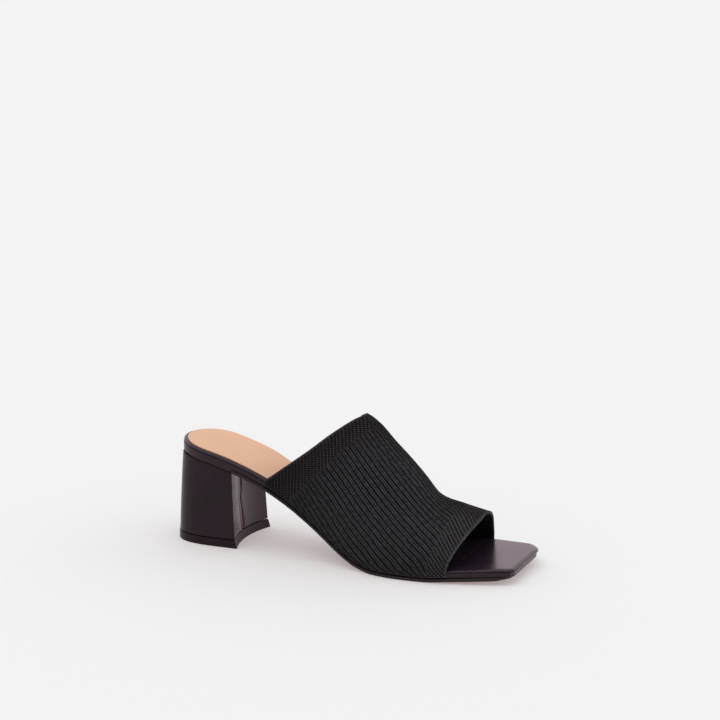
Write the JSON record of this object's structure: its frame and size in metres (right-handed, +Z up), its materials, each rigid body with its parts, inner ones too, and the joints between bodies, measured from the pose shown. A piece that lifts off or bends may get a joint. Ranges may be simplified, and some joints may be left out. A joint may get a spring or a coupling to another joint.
{
  "type": "heeled mule sandal",
  "caption": "Open-back, open-toe mule sandal: a black knitted band over the instep, a black leather footbed with a beige heel sock, and a covered block heel.",
  "frame": {"origin": "middle of the shoe's length and width, on the floor it stands on", "axes": "+X from the heel towards the toe, +Y towards the inner side of the foot, +Z up"},
  "size_m": [0.2448, 0.0844, 0.0954],
  "materials": {
    "outsole_rubber": "satin",
    "black_leather": "polished",
    "beige_leather": "matte",
    "knit": "ribbed knit, matte",
    "heel_leather": "glossy",
    "lift_rubber": "satin"
  },
  "bodies": {
    "root": {"outsole": "outsole_rubber", "footbed_board": "black_leather", "insole_cover": "black_leather", "heel_sock": "beige_leather", "knit_upper": "knit", "heel_block": "heel_leather", "top_lift": "lift_rubber"}
  },
  "joints": []
}
